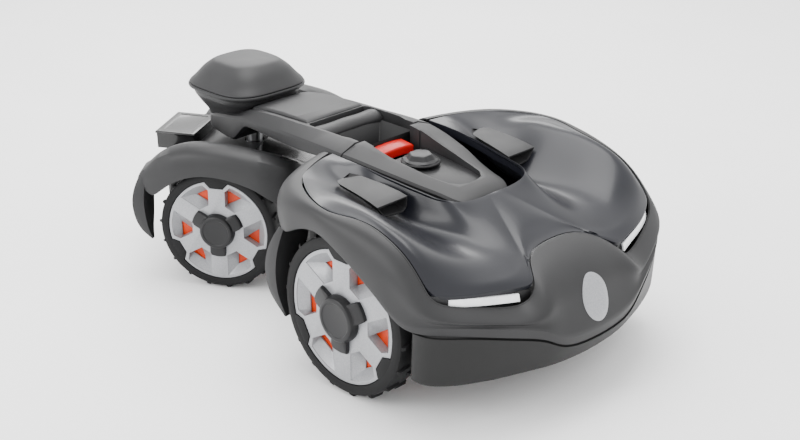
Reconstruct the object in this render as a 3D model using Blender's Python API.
# Articulated four-wheel-drive robotic lawn mower.
# Metres, +Z up, ground at Z = 0. Nose faces -Y. The rear body is turned about its steering pin.
import math
import bpy
import bmesh
from mathutils import Vector

# ---- driving dimensions -------------------------------------------------------------
FRONT_WHEEL_R = 0.1253
REAR_SCALE = 0.836
FRONT_FACE_X = 0.2600
REAR_FACE_X = 0.1870
TYRE_WIDTH = 0.052
LUG_COUNT = 18
PIVOT_Y = 0.497
STEER_REST_DEG = 30.0
ORIGIN_SHIFT_Y = -0.228318
SHELL_T = 0.003
BOTTOM_Z = 0.078
DISC_R = 0.110
KNOB_Y = 0.096
DOME_Y = 0.510

COLOURS = {
    "grey": (0.105, 0.105, 0.108),
    "hood": (0.055, 0.058, 0.066),
    "black": (0.028, 0.028, 0.029),
    "tyre": (0.045, 0.045, 0.045),
    "silver": (0.70, 0.70, 0.72),
    "orange": (0.80, 0.105, 0.012),
    "white": (0.90, 0.92, 0.94),
    "red": (0.75, 0.045, 0.035),
    "smoke": (0.04, 0.042, 0.045),
    "steel": (0.45, 0.45, 0.46),
    "board": (0.03, 0.17, 0.07),
    "battery": (0.05, 0.07, 0.10),
}


def material(kind):
    mat = bpy.data.materials.get(kind)
    if mat is None:
        mat = bpy.data.materials.new(kind)
        mat.use_nodes = True
        bsdf = mat.node_tree.nodes["Principled BSDF"]
        bsdf.inputs["Base Color"].default_value = (*COLOURS[kind], 1.0)
        bsdf.inputs["Roughness"].default_value = 0.35 if kind in ("hood", "steel", "red") else 0.55
        bsdf.inputs["Metallic"].default_value = 1.0 if kind == "steel" else 0.0
    return mat


def warp(face):
    """How far a face's corners lie from its own plane."""
    middle = face.calc_center_median()
    return max(abs((v.co - middle).dot(face.normal)) for v in face.verts)


def add_body(name, verts, faces, kind, parent=None, smooth=True):
    mesh = bpy.data.meshes.new(name)
    mesh.from_pydata([tuple(v) for v in verts], [], faces)
    mesh.validate()
    bm = bmesh.new()
    bm.from_mesh(mesh)
    bmesh.ops.remove_doubles(bm, verts=bm.verts, dist=1e-6)
    bmesh.ops.recalc_face_normals(bm, faces=bm.faces)
    if bm.calc_volume(signed=True) < 0:
        bmesh.ops.reverse_faces(bm, faces=bm.faces)
    bmesh.ops.triangulate(bm, faces=[f for f in bm.faces if warp(f) > 1e-6])
    bm.to_mesh(mesh)
    bm.free()
    if smooth:
        for poly in mesh.polygons:
            poly.use_smooth = True
    mesh.materials.append(material(kind))
    ob = bpy.data.objects.new(name, mesh)
    bpy.context.scene.collection.objects.link(ob)
    if parent is not None:
        ob.parent = parent
    return ob


def rings_body(name, rings, kind, parent=None, closed_path=False, smooth=True):
    """Closed body skinned over equal-count closed rings; end rings are capped."""
    n = len(rings[0])
    verts = [p for ring in rings for p in ring]
    faces = []
    last = len(rings) if closed_path else len(rings) - 1
    for i in range(last):
        a = i * n
        b = ((i + 1) % len(rings)) * n
        for j in range(n):
            k = (j + 1) % n
            faces.append((a + j, a + k, b + k, b + j))
    if not closed_path:
        faces.append(tuple(range(n - 1, -1, -1)))
        faces.append(tuple((len(rings) - 1) * n + j for j in range(n)))
    return add_body(name, verts, faces, kind, parent, smooth)


def lathe(name, profile, kind, centre=(0, 0, 0), axis="Z", seg=32, parent=None, radius_fn=None):
    """Closed (radius, height) outline turned about an axis through centre."""
    rings = []
    for i in range(seg):
        a = 2 * math.pi * i / seg
        ring = []
        for r, h in profile:
            rr = r if radius_fn is None else radius_fn(r, h, i)
            c, s = rr * math.cos(a), rr * math.sin(a)
            if axis == "Z":
                p = (centre[0] + c, centre[1] + s, centre[2] + h)
            else:
                p = (centre[0] + h, centre[1] + c, centre[2] + s)
            ring.append(p)
        rings.append(ring)
    return rings_body(name, rings, kind, parent, closed_path=True)


def solid_turn(name, profile, kind, centre=(0, 0, 0), axis="Z", seg=24, parent=None, phase=0.0):
    """Solid of revolution: profile of (radius, height) from one end to the other, capped flat."""
    rings = []
    for r, h in profile:
        ring = []
        for i in range(seg):
            a = phase + 2 * math.pi * i / seg
            c, s = r * math.cos(a), r * math.sin(a)
            if axis == "Z":
                ring.append((centre[0] + c, centre[1] + s, centre[2] + h))
            else:
                ring.append((centre[0] + h, centre[1] + c, centre[2] + s))
        rings.append(ring)
    return rings_body(name, rings, kind, parent)


def prism(name, outline, z0, z1, kind, parent=None, smooth=False):
    lo = [(x, y, z0) for x, y in outline]
    hi = [(x, y, z1) for x, y in outline]
    return rings_body(name, [lo, hi], kind, parent, smooth=smooth)


def rounded_rect(x0, x1, y0, y1, r, seg=4):
    pts = []
    for cx, cy, a0 in ((x1 - r, y1 - r, 0), (x0 + r, y1 - r, 90), (x0 + r, y0 + r, 180), (x1 - r, y0 + r, 270)):
        for i in range(seg + 1):
            a = math.radians(a0 + 90 * i / seg)
            pts.append((cx + r * math.cos(a), cy + r * math.sin(a)))
    return pts


def tub(name, outline_fn, z0, z1, wall, kind, parent=None):
    """Open-topped box: outer ring, rim, inner ring, floor."""
    outer = outline_fn(0.0)
    inner = outline_fn(wall)
    rings = [
        [(x, y, z0) for x, y in outer],
        [(x, y, z1) for x, y in outer],
        [(x, y, z1) for x, y in inner],
        [(x, y, z0 + wall) for x, y in inner],
    ]
    return rings_body(name, rings, kind, parent, smooth=False)


def interp(table, t):
    """Piecewise-linear interpolation in a short (position, value) table."""
    if t <= table[0][0]:
        return table[0][1]
    for (a, va), (b, vb) in zip(table, table[1:]):
        if t <= b:
            return va + (vb - va) * (t - a) / (b - a)
    return table[-1][1]


def catmull(points, sub):
    """Smooth open curve through 3-D points."""
    pts = [Vector(p) for p in points]
    out = []
    for i in range(len(pts) - 1):
        p0 = pts[i - 1] if i > 0 else pts[i] * 2 - pts[i + 1]
        p1, p2 = pts[i], pts[i + 1]
        p3 = pts[i + 2] if i + 2 < len(pts) else pts[i + 1] * 2 - pts[i]
        for k in range(sub):
            t = k / sub
            v = (p1 * 2 + (p2 - p0) * t + (p0 * 2 - p1 * 5 + p2 * 4 - p3) * t * t
                 + (p1 * 3 - p0 - p2 * 3 + p3) * t * t * t) * 0.5
            out.append(v)
    out.append(pts[-1])
    return out


def shell_strip(name, stations, thickness, kind, parent=None):
    """Skin of stations x profile points, thickened along its normals into one closed shell."""
    ns, nt = len(stations), len(stations[0])
    P = [[Vector(p) for p in st] for st in stations]
    N = []
    for i in range(ns):
        row = []
        for j in range(nt):
            ds = P[min(i + 1, ns - 1)][j] - P[max(i - 1, 0)][j]
            dt = P[i][min(j + 1, nt - 1)] - P[i][max(j - 1, 0)]
            nrm = ds.cross(dt)
            row.append(nrm.normalized() if nrm.length > 1e-12 else Vector((0, 0, 1)))
        N.append(row)
    mid = N[ns // 2][nt // 2]
    sign = 1.0
    centre = Vector((0.0, 0.02, 0.10))
    if mid.dot(P[ns // 2][nt // 2] - centre) < 0:
        sign = -1.0
    verts = [p for row in P for p in row]
    verts += [P[i][j] - N[i][j] * sign * thickness for i in range(ns) for j in range(nt)]
    off = ns * nt
    faces = []
    for i in range(ns - 1):
        for j in range(nt - 1):
            a, b, c, d = i * nt + j, i * nt + j + 1, (i + 1) * nt + j + 1, (i + 1) * nt + j
            faces.append((a, b, c, d))
            faces.append((off + a, off + d, off + c, off + b))
    for i in range(ns - 1):
        for j in (0, nt - 1):
            a, b = i * nt + j, (i + 1) * nt + j
            faces.append((a, b, off + b, off + a))
    for j in range(nt - 1):
        for i in (0, ns - 1):
            a, b = i * nt + j, i * nt + j + 1
            faces.append((a, b, off + b, off + a))
    return add_body(name, verts, faces, kind, parent)


# ---- shared surfaces ----------------------------------------------------------------
# Hood, right half, rear to nose: lip of the console cut-out, crease, channel floor, crest, seam.
HOOD_ROWS = [
    [(-.106, .181, .286), (-.125, .176, .287), (-.150, .168, .288), (-.190, .150, .288), (-.205, .140, .288)],
    [(-.107, .131, .285), (-.125, .135, .284), (-.152, .136, .276), (-.200, .125, .283), (-.232, .105, .288)],
    [(-.105, .100, .283), (-.120, .100, .270), (-.150, .100, .262), (-.206, .100, .280), (-.250, .070, .287)],
    [(-.104, .073, .280), (-.118, .070, .256), (-.150, .068, .250), (-.212, .066, .286), (-.257, .040, .284)],
    [(-.101, .051, .278), (-.116, .045, .245), (-.150, .040, .242), (-.214, .045, .287), (-.257, .020, .282)],
    [(-.099, .029, .275), (-.116, .017, .2335), (-.140, .010, .236), (-.216, .010, .286), (-.247, -.010, .2815)],
    [(-.096, .007, .273), (-.113, -.010, .2325), (-.145, -.020, .234), (-.218, -.012, .285), (-.2425, -.035, .280)],
    [(-.094, -.014, .271), (-.110, -.035, .232), (-.150, -.050, .232), (-.222, -.040, .282), (-.2415, -.060, .2755)],
    [(-.091, -.031, .269), (-.106, -.060, .2315), (-.152, -.080, .231), (-.224, -.075, .276), (-.243, -.090, .2665)],
    [(-.084, -.044, .268), (-.102, -.085, .231), (-.150, -.108, .229), (-.225, -.105, .266), (-.2435, -.120, .252)],
    [(-.073, -.052, .265), (-.097, -.108, .229), (-.145, -.135, .225), (-.222, -.137, .248), (-.2445, -.148, .224)],
    [(-.058, -.0545, .2625), (-.090, -.128, .2265), (-.135, -.155, .220), (-.210, -.155, .226), (-.242, -.1625, .2075)],
    [(-.045, -.0555, .2615), (-.080, -.140, .225), (-.120, -.175, .214), (-.180, -.180, .213), (-.205, -.185, .2045)],
    [(-.032, -.056, .261), (-.070, -.150, .223), (-.102, -.190, .209), (-.140, -.195, .209), (-.156, -.2035, .2015)],
    [(-.020, -.056, .261), (-.060, -.150, .2235), (-.082, -.185, .2115), (-.103, -.205, .203), (-.111, -.2135, .1965)],
    [(-.014, -.056, .261), (-.052, -.145, .225), (-.070, -.190, .2105), (-.0870, -.2110, .202), (-.0940, -.2190, .1975)],
    [(-.010, -.056, .261), (-.035, -.120, .237), (-.050, -.145, .228), (-.0615, -.1570, .2215), (-.0700, -.1655, .2185)],
    [(0, -.056, .261), (0, -.110, .245), (0, -.135, .233), (0, -.155, .225), (0, -.164, .222)],
]
# Frame, right half: edge at the hood, crown control point, lower edge.
FRAME_ROWS = [
    [(-.1085, .1880, .2855), (-.1085, .206, .287), (-.110, .2155, .268)],
    [(-.150, .1720, .288), (-.155, .196, .290), (-.160, .2055, .258)],
    [(-.2065, .1430, .288), (-.232, .176, .290), (-.222, .180, .236)],
    [(-.2345, .1070, .288), (-.270, .150, .285), (-.268, .122, .216)],
    [(-.2525, .0710, .287), (-.276, .100, .288), (-.270, .090, .240)],
    [(-.2595, .0400, .284), (-.278, .050, .288), (-.272, .048, .2525)],
    [(-.2595, .0200, .282), (-.279, .020, .284), (-.274, .015, .243)],
    [(-.2490, -.0100, .2815), (-.279, -.012, .283), (-.2745, -.015, .230)],
    [(-.2445, -.0350, .280), (-.278, -.038, .279), (-.275, -.040, .217)],
    [(-.2435, -.0600, .2755), (-.277, -.062, .272), (-.275, -.062, .204)],
    [(-.2450, -.0900, .2665), (-.276, -.090, .260), (-.275, -.085, .190)],
    [(-.2455, -.1200, .252), (-.276, -.120, .240), (-.2745, -.108, .172)],
    [(-.2465, -.1480, .224), (-.276, -.150, .208), (-.272, -.135, .155)],
    [(-.2440, -.1645, .190), (-.270, -.180, .178), (-.260, -.170, .1555)],
    [(-.2065, -.1870, .186), (-.230, -.214, .170), (-.214, -.208, .152)],
    [(-.1570, -.2055, .178), (-.170, -.238, .160), (-.160, -.237, .140)],
    [(-.1120, -.2155, .170), (-.125, -.255, .150), (-.115, -.255, .130)],
    [(-.0870, -.2290, .1955), (-.102, -.268, .175), (-.096, -.2605, .119)],
    [(-.0600, -.1790, .2165), (-.066, -.255, .205), (-.067, -.266, .102)],
    [(0, -.1710, .2200), (0, -.265, .207), (0, -.270, .100)],
]
SKIRT_TOP = [(-.200, -.131, .150), (-.262, -.131, .150), (-.2585, -.168, .152), (-.212, -.2060, .149),
             (-.158, -.2350, .137), (-.113, -.2530, .127), (-.095, -.2580, .116), (-.066, -.2635, .099),
             (0, -.2670, .097)]
SKIRT_LOW = [(-.200, -.131, .074), (-.262, -.131, .076), (-.258, -.166, .075), (-.212, -.201, .073),
             (-.160, -.222, .0715), (-.115, -.235, .071), (-.095, -.240, .070), (-.066, -.244, .068),
             (0, -.248, .066)]


def run_through(points, count, pull_in):
    """Even samples on a smooth curve through a row's points, its last point held back by pull_in."""
    curve = catmull(points, 8)
    d = curve[-1] - curve[-2]
    curve[-1] = curve[-1] - d.normalized() * min(pull_in, d.length * 0.8)
    length = [0.0]
    for a, b in zip(curve, curve[1:]):
        length.append(length[-1] + (b - a).length)
    out = []
    for k in range(count):
        target = length[-1] * k / (count - 1)
        i = 0
        while i < len(length) - 2 and length[i + 1] < target:
            i += 1
        span = length[i + 1] - length[i]
        out.append(curve[i].lerp(curve[i + 1], (target - length[i]) / span if span > 0 else 0.0))
    return out


def mirrored(stations):
    return stations + [[Vector((-p[0], p[1], p[2])) for p in row] for row in reversed(stations[:-1])]


def hood():
    """Glossy top shell: a U around the console cut-out, with a scooped channel on each side."""
    stations = [run_through(row, 11, 0.0020) for row in HOOD_ROWS]
    return shell_strip("hood", mirrored(stations), SHELL_T, "hood")


def frame_cover():
    """Matte outer frame: both fenders, the side panels and the nose in one moulding."""
    stations = []
    for row in FRAME_ROWS:
        s, c, l = (Vector(p) for p in row)
        stations.append([s * (1 - t) ** 2 + c * 2 * t * (1 - t) + l * t * t for t in (k / 7 for k in range(8))])
    return shell_strip("frame_cover", mirrored(stations), SHELL_T, "grey")


def front_skirt():
    """Near-black bumper band under the frame, turned in beside the wheels."""
    stations = []
    for a, b in zip(SKIRT_TOP, SKIRT_LOW):
        a, b = Vector(a), Vector(b)
        stations.append([a.lerp(b, t) for t in (0.0, 0.33, 0.66, 1.0)])
    return shell_strip("front_skirt", mirrored(stations), SHELL_T, "black")


def light_strip(side, tag):
    run = [(-.2380, -.1640, .1960), (-.2060, -.1820, .1950), (-.1570, -.2000, .1880), (-.1230, -.2090, .1830)]
    rings = []
    for x, y, z in run:
        ring = []
        for d, h in ((0.0, 0.0045), (0.0, -0.0045), (0.006, -0.0045), (0.006, 0.0045)):
            ring.append((side * -x, y + d, z + h))
        rings.append(ring)
    return rings_body("light_strip_" + tag, rings, "white", smooth=False)


def sensor_pod(side, tag):
    """Forward-looking ultrasonic sensor housing standing in the hood channel."""
    rings = []
    for y, inset, z0, z1 in ((0.1080, 0.0, 0.2740, 0.2790), (0.0140, 0.0, 0.2550, 0.2665),
                             (0.0140, 0.0030, 0.2575, 0.2640), (0.0320, 0.0030, 0.2605, 0.2660)):
        x0, x1 = 0.1240 + inset, 0.1680 - inset
        rings.append([(side * x0, y, z1), (side * x1, y, z1), (side * x1, y, z0), (side * x0, y, z0)])
    return rings_body("sensor_pod_" + tag, rings, "hood", smooth=False)


def sensor_cone(side, tag):
    rings = []
    for r, h in ((0.0018, 0.0), (0.0018, 0.004), (0.0010, 0.009)):
        ring = []
        for i in range(16):
            a = 2 * math.pi * i / 16
            ring.append((side * 0.1480 + r * math.cos(a), 0.0300 - h, 0.2630 + r * math.sin(a)))
        rings.append(ring)
    return rings_body("sensor_cone_" + tag, rings, "steel")


def seat_z(y):
    """Height of the recessed fascia's top along the console."""
    return 0.2645 + 0.040 * y


def console_cover():
    """Tapering control housing seen through the U cut-out, with a recessed fascia seat on top."""
    data = [(.1690, .0990, .2855, .0690, .2950), (.1400, .0950, .2830, .0640, .2900), (.1110, .0900, .2790, .0580, .2830),
            (.0700, .0810, .2725, .0500, .2760), (.0330, .0700, .2650, .0430, .2700), (.0000, .0620, .2600, .0380, .2665),
            (-.0320, .0540, .2550, .0300, .2600), (-.0450, .0380, .2520, .0180, .2540), (-.0500, .0150, .2500, .0080, .2505)]
    rings = []
    for y, wo, ze, wi, zi in data:
        zb = 0.2300
        rings.append([(-wo, y, zb), (-wo, y, ze), (-wi, y, zi), (wi, y, zi), (wo, y, ze), (wo, y, zb)])
    ob = rings_body("console_cover", rings, "grey", smooth=False)
    outline = [(-.0500, .145), (.0500, .145), (.0470, .071), (.0352, .001), (-.0352, .001), (-.0470, .071)]
    floor = [(x, y, seat_z(y) - 0.0040) for x, y in outline]
    roof = [(x, y, 0.3200) for x, y in outline]
    cut = rings_body("console_seat_cut", [floor, roof], "black", smooth=False)
    cutter(cut)
    add_cut(ob, cut)
    well = prism("stop_well_cut", rounded_rect(-0.046, 0.046, 0.1430, 0.2000, 0.004, 2), 0.2560, 0.3200, "black")
    cutter(well)
    add_cut(ob, well)
    return ob


def cutter(ob):
    ob.hide_render = True
    ob.display_type = "WIRE"


def add_cut(ob, cut):
    mod = ob.modifiers.new("cut", "BOOLEAN")
    mod.operation = "DIFFERENCE"
    mod.solver = "EXACT"
    mod.object = cut
    return mod


def console_panel():
    """Recessed fascia under the selector knob."""
    outline = [(-.0455, .1395), (.0455, .1395), (.0462, .071), (.0345, .002), (-.0345, .002), (-.0462, .071)]
    rings = [[(x, y, seat_z(y) + dz) for x, y in outline] for dz in (-0.0034, 0.0)]
    return rings_body("console_panel", rings, "grey", smooth=False)


def control_knob():
    base = seat_z(KNOB_Y) + 0.0006
    prof = [(0.0190, 0.0030), (0.0270, 0.0036), (0.0270, 0.0060), (0.0200, 0.0080), (0.0150, 0.0160), (0.0130, 0.0175)]
    return solid_turn("control_knob", prof, "smoke", (0, KNOB_Y, base), "Z", 24)


def knob_collar():
    low = [(0.0180 * math.cos(a), KNOB_Y + 0.0180 * math.sin(a)) for a in (2 * math.pi * i / 24 for i in range(24))]
    rings = [[(x, y, seat_z(y) + 0.0004) for x, y in low], [(x, y, seat_z(KNOB_Y) + 0.0032) for x, y in low]]
    return rings_body("knob_collar", rings, "black")


def stop_button():
    rings = []
    for z, dx, dy in ((0.2620, 0.0400, 0.0160), (0.2700, 0.0400, 0.0160), (0.2725, 0.0380, 0.0140)):
        rings.append([(-dx, 0.1620 - dy, z), (dx, 0.1620 - dy, z), (dx, 0.1620 + dy, z + 0.003), (-dx, 0.1620 + dy, z + 0.003)])
    return rings_body("stop_button", rings, "red", smooth=False)


def spine_beam():
    """Bridge from the console to the steering pin: two arms round the hand hole, a tail over the pin."""
    data = [(.1705, .1000, .2860, .0700, .2965, .2640), (.2250, .0985, .2860, .0690, .2970, .2640),
            (.2900, .0940, .2840, .0690, .2955, .2600), (.3600, .0870, .2800, .0680, .2925, .2590),
            (.4100, .0810, .2770, .0670, .2880, .2580), (.4300, .0790, .2750, .0640, .2820, .2570),
            (.4550, .0760, .2700, .0600, .2720, .2320), (.5000, .0680, .2600, .0560, .2620, .2230),
            (.5400, .0570, .2480, .0450, .2510, .2230), (.5650, .0400, .2400, .0300, .2420, .2240),
            (.5760, .0180, .2340, .0120, .2360, .2260)]
    rings = []
    for y, wo, ze, wi, zi, zb in data:
        rings.append([(-wo, y, zb), (-wo, y, ze), (-wi, y, zi), (wi, y, zi), (wo, y, ze), (wo, y, zb)])
    ob = rings_body("spine_beam", rings, "grey", smooth=False)
    hole = prism("hand_hole_cut", rounded_rect(-0.0640, 0.0640, 0.1600, 0.2840, 0.004, 2), 0.2000, 0.3400, "black")
    cutter(hole)
    add_cut(ob, hole)
    pin = solid_turn("pin_bore_cut", [(0.0150, 0.2000), (0.0150, 0.2350)], "black", (0, PIVOT_Y, 0), "Z", 24)
    cutter(pin)
    add_cut(ob, pin)
    return ob


def handle_bar():
    rings = []
    for x in (-0.0635, 0.0635):
        ring = []
        for i in range(12):
            a = 2 * math.pi * i / 12
            ring.append((x, 0.2620 + 0.0175 * math.cos(a), 0.2820 + 0.0130 * math.sin(a)))
        rings.append(ring)
    return rings_body("handle_bar", rings, "grey")


def hatch_base(y):
    return interp([(.2250, .2970), (.2900, .2955), (.3600, .2925), (.4100, .2880)], y) + 0.0006


def spine_hatch():
    """Raised lid on the bridge, running from the hand hole to the receiver."""
    rings = []
    for y, w, h in ((.2900, .0610, .0020), (.3000, .0610, .0050), (.3600, .0580, .0050), (.4080, .0560, .0030)):
        z = hatch_base(y)
        rings.append([(-w, y, z), (-w + 0.008, y, z + h), (w - 0.008, y, z + h), (w, y, z)])
    return rings_body("spine_hatch", rings, "grey", smooth=False)


def squircle(radius, n=28, power=3.5):
    pts = []
    for i in range(n):
        a = 2 * math.pi * i / n
        c, s = math.cos(a), math.sin(a)
        k = (abs(c) ** power + abs(s) ** power) ** (-1 / power)
        pts.append((radius * k * c, radius * k * s))
    return pts


def turned_squircle(name, profile, kind, centre, angle, parent=None):
    rings = []
    ca, sa = math.cos(angle), math.sin(angle)
    for r, z in profile:
        ring = [(centre[0] + x * ca - y * sa, centre[1] + x * sa + y * ca, z) for x, y in squircle(r)]
        rings.append(ring)
    return rings_body(name, rings, kind, parent)


def receiver():
    base = [(0.0430, 0.2740), (0.0600, 0.2860), (0.0740, 0.2890), (0.0800, 0.2910), (0.0830, 0.2935)]
    turned_squircle("receiver_base", base, "grey", (0, DOME_Y + 0.002), 0.0)
    dome = [(0.0830, 0.2942), (0.0856, 0.2980), (0.0856, 0.3020), (0.0800, 0.3120), (0.0660, 0.3300), (0.0460, 0.3440),
            (0.0240, 0.3500)]
    turned_squircle("receiver_dome", dome, "grey", (0, DOME_Y + 0.002), 0.0)


# ---- wheels -------------------------------------------------------------------------
def wheel(tag, side, centre, scale, parent=None, notch_deg=90.0):
    """One driven wheel: lugged tyre, orange core, pierced hubcap and three-lobed centre cap."""
    k = scale
    outer = side * 0.0035 * k
    w = TYRE_WIDTH * k
    r_out, r_face, r_rim = FRONT_WHEEL_R * k, 0.1205 * k, 0.1040 * k
    seg = LUG_COUNT * 2

    def lug(r, h, i):
        return r if (r < 0.1215 * k or i % 2 == 1) else 0.1215 * k

    prof = [(r_rim, outer), (r_face - 0.002 * k, outer), (0.1215 * k, outer - side * 0.004 * k),
            (r_out, outer - side * 0.010 * k), (r_out, outer - side * (w / 1 - 0.008 * k)),
            (0.1190 * k, outer - side * w), (r_rim, outer - side * w)]
    lathe("tyre_" + tag, prof, "tyre", centre, "X", seg, parent, lug)
    core = [(0.0200 * k, -side * 0.012 * k), (0.1030 * k, -side * 0.012 * k), (0.1030 * k, -side * 0.046 * k),
            (0.0980 * k, -side * 0.046 * k), (0.0980 * k, -side * 0.018 * k), (0.0200 * k, -side * 0.018 * k)]
    lathe("wheel_core_" + tag, core, "orange", centre, "X", 24, parent)
    hubcap(tag, side, centre, k, parent, notch_deg)
    cap = []
    for h, grow in ((-0.0110, 0.92), (0.0040, 1.0), (0.0120, 0.94), (0.0150, 0.80)):
        ring = []
        for i in range(36):
            a = 2 * math.pi * i / 36
            lobe = max(0.0, math.cos(3 * (a - math.radians(notch_deg + 60)))) ** 6
            r = (0.0300 + 0.0130 * lobe * (1.0 if h < 0.012 else 0.35)) * grow * k
            if h < -0.005:
                r = 0.0185 * k
            ring.append((centre[0] + side * h * k, centre[1] + r * math.cos(a), centre[2] + r * math.sin(a)))
        cap.append(ring)
    cap.insert(1, [(centre[0] + side * 0.0006 * k, p[1] * 1.0, p[2]) for p in cap[0]])
    base = [(centre[0] + side * 0.0006 * k, centre[1] + (p[1] - centre[1]), centre[2] + (p[2] - centre[2])) for p in cap[2]]
    cap.insert(2, base)
    rings_body("centre_cap_" + tag, cap, "black", parent)


def hubcap(tag, side, centre, k, parent, notch_deg):
    """Silver disc with six triangular windows, made as a ring of spokes round each window."""
    n = 8
    total = n * 6
    verts = []
    radii = [0.0200, 0.0520, 0.0780, 0.1030]
    front = [0.0000, 0.0000, -0.0010, -0.0010]
    for layer in (0, 1):
        for ri, r in enumerate(radii):
            for i in range(total):
                a = math.radians(notch_deg) + 2 * math.pi * i / total
                h = front[ri] if layer == 0 else front[ri] - 0.0060
                verts.append((centre[0] + side * h * k, centre[1] + r * k * math.cos(a), centre[2] + r * k * math.sin(a)))
    nr = len(radii)

    def idx(layer, ri, i):
        return (layer * nr + ri) * total + (i % total)

    faces = []
    for ri in range(nr - 1):
        for i in range(total):
            window = ri == 1 and (i % n) in (3, 4)
            if window:
                continue
            faces.append((idx(0, ri, i), idx(0, ri, i + 1), idx(0, ri + 1, i + 1), idx(0, ri + 1, i)))
            faces.append((idx(1, ri, i), idx(1, ri + 1, i), idx(1, ri + 1, i + 1), idx(1, ri, i + 1)))
    for i in range(total):
        faces.append((idx(0, 0, i), idx(1, 0, i), idx(1, 0, i + 1), idx(0, 0, i + 1)))
        faces.append((idx(0, nr - 1, i), idx(0, nr - 1, i + 1), idx(1, nr - 1, i + 1), idx(1, nr - 1, i)))
        if (i % n) in (3, 4):
            faces.append((idx(0, 1, i), idx(0, 1, i + 1), idx(1, 1, i + 1), idx(1, 1, i)))
            faces.append((idx(0, 2, i), idx(1, 2, i), idx(1, 2, i + 1), idx(0, 2, i + 1)))
        if (i % n) == 3:
            faces.append((idx(0, 1, i), idx(1, 1, i), idx(1, 2, i), idx(0, 2, i)))
        if (i % n) == 5:
            faces.append((idx(0, 1, i), idx(0, 2, i), idx(1, 2, i), idx(1, 1, i)))
    add_body("hubcap_" + tag, verts, faces, "silver", parent, smooth=False)


def wheel_motor(tag, side, centre, k, body_x, parent=None):
    """Hub motor bolted to the chassis side, its shaft reaching into the wheel."""
    face = centre[0] - side * 0.0195 * k
    inner = side * (body_x + 0.0006) - centre[0]
    prof = [(0.0400 * k, inner), (0.0400 * k, face - centre[0] - side * 0.0060 * k), (0.0120 * k, face - centre[0] - side * 0.0055 * k),
            (0.0120 * k, -side * 0.0150 * k)]
    solid_turn("wheel_motor_" + tag, prof, "steel", centre, "X", 24, parent)


# ---- front body ---------------------------------------------------------------------
def front_chassis():
    def outline(inset):
        pts = rounded_rect(-0.186 + inset, 0.186 - inset, -0.120 + inset, 0.168 - inset, 0.020, 3)
        return pts
    ob = tub("front_chassis", outline, BOTTOM_Z, 0.2050, 0.004, "black")
    well = solid_turn("motor_bore_cut", [(0.0200, 0.0600), (0.0200, 0.1000)], "black", (0, 0, 0), "Z", 24)
    cutter(well)
    add_cut(ob, well)
    return ob


def inside_front():
    prism("battery_pack", rounded_rect(-0.150, -0.060, -0.080, 0.120, 0.006, 2), 0.0830, 0.1450, "battery")
    prism("circuit_board", rounded_rect(0.060, 0.160, -0.080, 0.120, 0.003, 1), 0.1400, 0.1416, "board")
    solid_turn("cutting_motor", [(0.0120, 0.0400), (0.0120, 0.0835), (0.0340, 0.0840), (0.0340, 0.1250)], "steel", (0, 0, 0), "Z", 24)
    lathe("height_carrier", [(0.0380, 0.0830), (0.0460, 0.0830), (0.0460, 0.1600), (0.0380, 0.1600)], "black", (0, 0, 0), "Z", 24)


def cutting_unit():
    solid_turn("skid_plate", [(0.0600, 0.0180), (0.0700, 0.0200), (0.0700, 0.0215), (0.0080, 0.0222), (0.0080, 0.0300)], "black", (0, 0, 0), "Z", 32)
    solid_turn("cutting_disc", [(DISC_R, 0.0305), (DISC_R, 0.0335), (0.0400, 0.0360), (0.0400, 0.0390)], "black", (0, 0, 0), "Z", 36)
    for i in range(3):
        a = 2 * math.pi * i / 3
        out = Vector((math.cos(a), math.sin(a), 0))
        side = Vector((-math.sin(a), math.cos(a), 0))
        pts = []
        for d, s in ((0.088, -0.009), (0.088, 0.009), (0.118, 0.009), (0.122, 0.004), (0.122, -0.004), (0.118, -0.009)):
            p = out * d + side * s
            pts.append((p.x, p.y))
        prism("blade_%d" % (i + 1), pts, 0.0288, 0.0296, "steel")


def front_mudguard(side, tag):
    """Blade-shaped flap that closes the wheel well behind the front wheel."""
    rings = []
    for yo, yi, z, wide in ((.1400, .1330, .2080, .2600), (.1460, .1370, .1850, .2640), (.1500, .1390, .1550, .2660),
                            (.1460, .1360, .1200, .2640), (.1340, .1280, .0880, .2560)):
        rings.append([(side * wide, yi, z), (side * wide, yo, z), (side * 0.2050, yo, z), (side * 0.2050, yi, z)])
    return rings_body("front_mudguard_" + tag, rings, "grey")


# ---- rear body ----------------------------------------------------------------------
def rear_body(rear):
    def outline(inset):
        return rounded_rect(-0.118 + inset, 0.118 - inset, -0.095 + inset, 0.120 - inset, 0.018, 3)
    tub("rear_chassis", outline, 0.0500, 0.1560, 0.004, "black", rear)
    prism("rear_battery", rounded_rect(-0.090, 0.090, 0.030, 0.110, 0.006, 2), 0.0560, 0.1200, "battery", rear)
    rear_cover(rear)
    for side, tag in ((-1, "r"), (1, "l")):
        rear_mudguard(side, tag, rear)
    rings = []
    for z, dx, y0, y1 in ((0.1955, 0.0490, 0.1000, 0.1500), (0.2120, 0.0490, 0.1000, 0.1600),
                          (0.2125, 0.0505, 0.0990, 0.1640), (0.2145, 0.0505, 0.0990, 0.1640), (0.2160, 0.0485, 0.1010, 0.1620)):
        rings.append([(-dx, y0, z), (dx, y0, z), (dx, y1, z), (-dx, y1, z)])
    rings_body("rear_box", rings, "black", rear, smooth=False)
    solid_turn("steering_pin", [(0.0300, 0.1250), (0.0300, 0.1800), (0.0145, 0.1805), (0.0145, 0.2330)], "steel", (0, 0, 0), "Z", 24, rear)
    solid_turn("steering_motor", [(0.0280, 0.0560), (0.0280, 0.1240)], "steel", (0, -0.040, 0), "Z", 24, rear)


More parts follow.
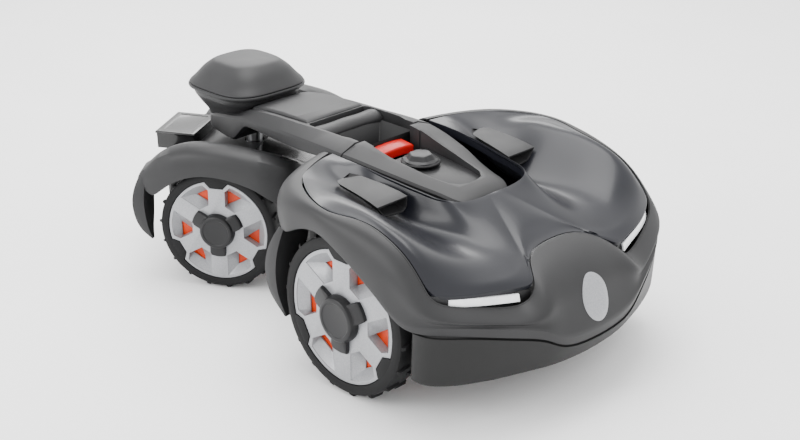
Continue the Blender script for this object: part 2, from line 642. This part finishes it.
def rear_cover(rear):
    """Rear shell: a low deck between two wheel arches."""
    stations = []
    table = [(-0.1300, 0.165, 0.1900, 0.2150, 0.1700), (-0.1000, 0.180, 0.1940, 0.2260, 0.1640), (-0.0600, 0.195, 0.1960, 0.2370, 0.1900),
             (-0.0200, 0.198, 0.1980, 0.2430, 0.2030), (0.0200, 0.199, 0.1985, 0.2440, 0.2050), (0.0600, 0.198, 0.1970, 0.2390, 0.1940),
             (0.0950, 0.196, 0.1930, 0.2280, 0.1700), (0.1180, 0.190, 0.1880, 0.2120, 0.1560), (0.1400, 0.170, 0.1780, 0.1900, 0.1500)]
    for y, w, deck, crown, edge in table:
        half = [(-w, y, edge), (-w, y, (edge + crown) / 2), (-w + 0.012, y, crown - 0.006), (-w + 0.032, y, crown),
                (-w + 0.060, y, crown - 0.006), (-0.090, y, deck + 0.010), (-0.055, y, deck), (-0.032, y, deck)]
        stations.append(half + [(-x, yy, z) for x, yy, z in reversed(half)])
    ob = shell_strip("rear_cover", stations, SHELL_T, "grey", rear)
    hole = solid_turn("pin_clear_cut", [(0.0250, 0.1700), (0.0250, 0.2400)], "black", (0, 0, 0), "Z", 24, rear)
    cutter(hole)
    add_cut(ob, hole)
    return ob


def rear_mudguard(side, tag, rear):
    rings = []
    for yo, yi, z, wide in ((.1500, .1440, .1800, .1900), (.1530, .1440, .1600, .1940), (.1520, .1380, .1380, .1960),
                            (.1440, .1330, .1080, .1940), (.1280, .1220, .0780, .1880)):
        rings.append([(side * wide, yi, z), (side * wide, yo, z), (side * 0.1450, yo, z), (side * 0.1450, yi, z)])
    return rings_body("rear_mudguard_" + tag, rings, "grey", rear)


def centre_row():
    """Put the row's origin under the middle of the whole machine."""
    for ob in bpy.data.objects:
        if ob.parent is None:
            ob.location.y += ORIGIN_SHIFT_Y


def build():
    for ob in list(bpy.data.objects):
        bpy.data.objects.remove(ob, do_unlink=True)
    hood()
    frame_cover()
    front_skirt()
    front_chassis()
    inside_front()
    cutting_unit()
    console_cover()
    console_panel()
    knob_collar()
    control_knob()
    stop_button()
    spine_beam()
    handle_bar()
    spine_hatch()
    receiver()
    for side, tag in ((-1, "r"), (1, "l")):
        light_strip(side, tag)
        sensor_pod(side, tag)
        sensor_cone(side, tag)
        front_mudguard(side, tag)
        centre = (side * FRONT_FACE_X, 0.0, FRONT_WHEEL_R)
        wheel("f" + tag, side, centre, 1.0, None, 75.0)
        wheel_motor("f" + tag, side, centre, 1.0, 0.186)
    rear = bpy.data.objects.new("steering_axis", None)
    bpy.context.scene.collection.objects.link(rear)
    rear.location = (0, PIVOT_Y, 0)
    rear.rotation_euler = (0, 0, math.radians(STEER_REST_DEG))
    rear_body(rear)
    for side, tag in ((-1, "r"), (1, "l")):
        centre = (side * REAR_FACE_X, 0.0, FRONT_WHEEL_R * REAR_SCALE)
        wheel("r" + tag, side, centre, REAR_SCALE, rear, 90.0)
        wheel_motor("r" + tag, side, centre, REAR_SCALE, 0.118, rear)
    centre_row()


build()
